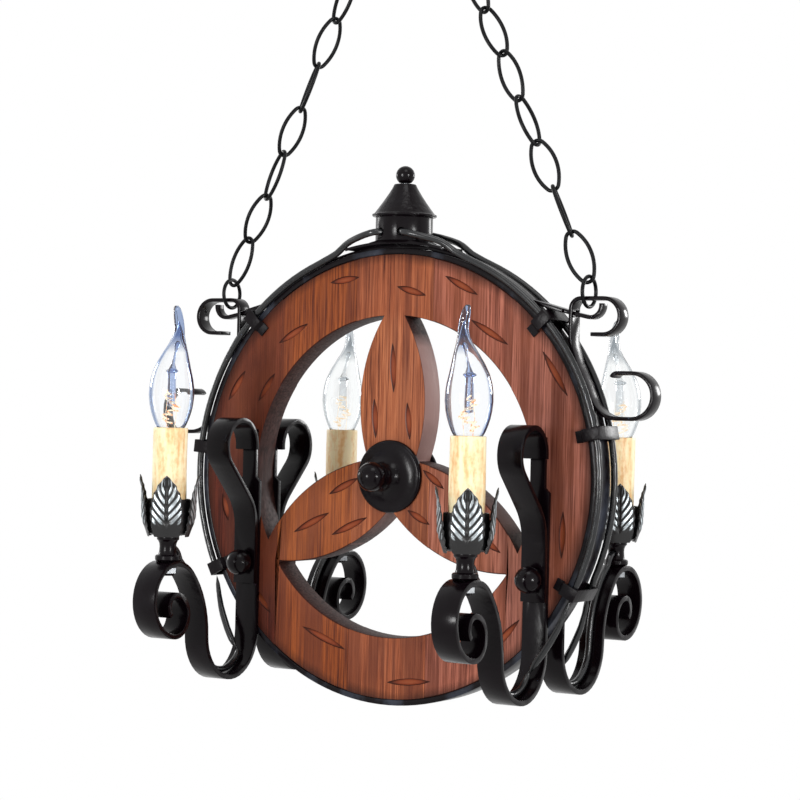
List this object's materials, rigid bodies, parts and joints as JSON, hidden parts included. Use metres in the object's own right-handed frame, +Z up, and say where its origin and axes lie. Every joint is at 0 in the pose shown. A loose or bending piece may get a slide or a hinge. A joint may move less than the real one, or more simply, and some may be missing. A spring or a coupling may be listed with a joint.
{
  "type": "wagon wheel chandelier",
  "caption": "Hanging chandelier made from a carved wooden wheel in an iron tyre, on two chains, with forged scroll arms that hold candle lamps in leaf cups.",
  "frame": {"origin": "top of the inside of the hanging ring, where the ceiling hook carries the lamp", "axes": "+Z up, +X to the wheel's right seen from the front, +Y towards the back, through the wheel's thickness"},
  "size_m": [0.4485, 0.308, 0.7127],
  "materials": {
    "wood": "stained, satin, darkened edges",
    "black_iron": "black, half gloss",
    "chain_iron": "black, half gloss",
    "worn_iron": "black, rubbed to silver on the ribs",
    "clip_metal": "black, half gloss",
    "cable_sheath": "glossy black",
    "candle_sleeve": "waxy ivory",
    "bulb_cap": "satin",
    "bulb_glass": "clear",
    "filament": "warm wire on a glass stem",
    "white_moulding": "white",
    "plated_steel": "zinc plated"
  },
  "bodies": {
    "ceiling_ring": {"hanging_ring": "chain_iron"},
    "top_links": {"top_links": "chain_iron"},
    "chains": {"chain_left": "chain_iron", "chain_right": "chain_iron", "hook_rings": "chain_iron"},
    "bulb_front_left": {"bulb_cap_front_left": "bulb_cap", "glass_front_left": "bulb_glass", "filament_front_left": "filament"},
    "candle_front_left": {"sleeve_front_left": "candle_sleeve"},
    "bulb_front_right": {"bulb_cap_front_right": "bulb_cap", "glass_front_right": "bulb_glass", "filament_front_right": "filament"},
    "candle_front_right": {"sleeve_front_right": "candle_sleeve"},
    "bulb_back_left": {"bulb_cap_back_left": "bulb_cap", "glass_back_left": "bulb_glass", "filament_back_left": "filament"},
    "candle_back_left": {"sleeve_back_left": "candle_sleeve"},
    "bulb_back_right": {"bulb_cap_back_right": "bulb_cap", "glass_back_right": "bulb_glass", "filament_back_right": "filament"},
    "candle_back_right": {"sleeve_back_right": "candle_sleeve"},
    "lid": {"canister_lid": "black_iron"},
    "finial": {"finial_ball": "black_iron"},
    "wheel": {"board_outer_left": "wood", "board_left": "wood", "board_centre": "wood", "board_right": "wood", "board_outer_right": "wood", "tyre": "black_iron", "hub_plate_front": "black_iron", "hub_plate_back": "black_iron", "hub_bolt": "black_iron", "hub_nut": "black_iron", "arm_front_left": "black_iron", "arm_front_right": "black_iron", "arm_back_left": "black_iron", "arm_back_right": "black_iron", "scroll_front_left": "black_iron", "scroll_front_right": "black_iron", "scroll_back_left": "black_iron", "scroll_back_right": "black_iron", "ball_bolts": "black_iron", "ball_nuts": "black_iron", "spindles": "black_iron", "spindle_nuts": "plated_steel", "leaf_cups": "worn_iron", "lampholders": "white_moulding", "cable_front_left": "cable_sheath", "cable_front_right": "cable_sheath", "cable_back_left": "cable_sheath", "cable_back_right": "cable_sheath", "cable_clips": "clip_metal", "crown_strap": "black_iron", "side_strap_left": "black_iron", "side_strap_right": "black_iron", "saddle": "black_iron", "canister": "black_iron", "finial_stem": "plated_steel", "terminal_block": "white_moulding"}
  },
  "joints": [
    {"name": "ring_swing", "type": "hinge", "parent": "ceiling_ring", "child": "top_links", "pos_m": [0, 0, -0.014], "axis": [0, 1, 0], "range_deg": [-15, 15]},
    {"name": "chain_swing", "type": "hinge", "parent": "top_links", "child": "chains", "pos_m": [0, 0, -0.06159], "axis": [1, 0, 0], "range_deg": [-20, 20]},
    {"name": "wheel_rock", "type": "hinge", "parent": "chains", "child": "wheel", "pos_m": [0, 0, -0.38494], "axis": [1, 0, 0], "range_deg": [-20, 20]},
    {"name": "lid_lift", "type": "slide", "parent": "wheel", "child": "lid", "axis": [0, 0, 1], "range_m": [0, 0.03]},
    {"name": "finial_turn", "type": "hinge", "parent": "lid", "child": "finial", "pos_m": [0, 0, -0.29965], "axis": [0, 0, 1], "continuous": true},
    {"name": "bulb_turn_front_left", "type": "hinge", "parent": "wheel", "child": "bulb_front_left", "pos_m": [-0.131, -0.124, -0.49485], "axis": [0, 0, 1], "continuous": true},
    {"name": "sleeve_turn_front_left", "type": "hinge", "parent": "wheel", "child": "candle_front_left", "pos_m": [-0.131, -0.124, -0.49485], "axis": [0, 0, 1], "continuous": true},
    {"name": "bulb_turn_front_right", "type": "hinge", "parent": "wheel", "child": "bulb_front_right", "pos_m": [0.131, -0.124, -0.49485], "axis": [0, 0, 1], "continuous": true},
    {"name": "sleeve_turn_front_right", "type": "hinge", "parent": "wheel", "child": "candle_front_right", "pos_m": [0.131, -0.124, -0.49485], "axis": [0, 0, 1], "continuous": true},
    {"name": "bulb_turn_back_left", "type": "hinge", "parent": "wheel", "child": "bulb_back_left", "pos_m": [-0.131, 0.124, -0.49485], "axis": [0, 0, 1], "continuous": true},
    {"name": "sleeve_turn_back_left", "type": "hinge", "parent": "wheel", "child": "candle_back_left", "pos_m": [-0.131, 0.124, -0.49485], "axis": [0, 0, 1], "continuous": true},
    {"name": "bulb_turn_back_right", "type": "hinge", "parent": "wheel", "child": "bulb_back_right", "pos_m": [0.131, 0.124, -0.49485], "axis": [0, 0, 1], "continuous": true},
    {"name": "sleeve_turn_back_right", "type": "hinge", "parent": "wheel", "child": "candle_back_right", "pos_m": [0.131, 0.124, -0.49485], "axis": [0, 0, 1], "continuous": true}
  ]
}
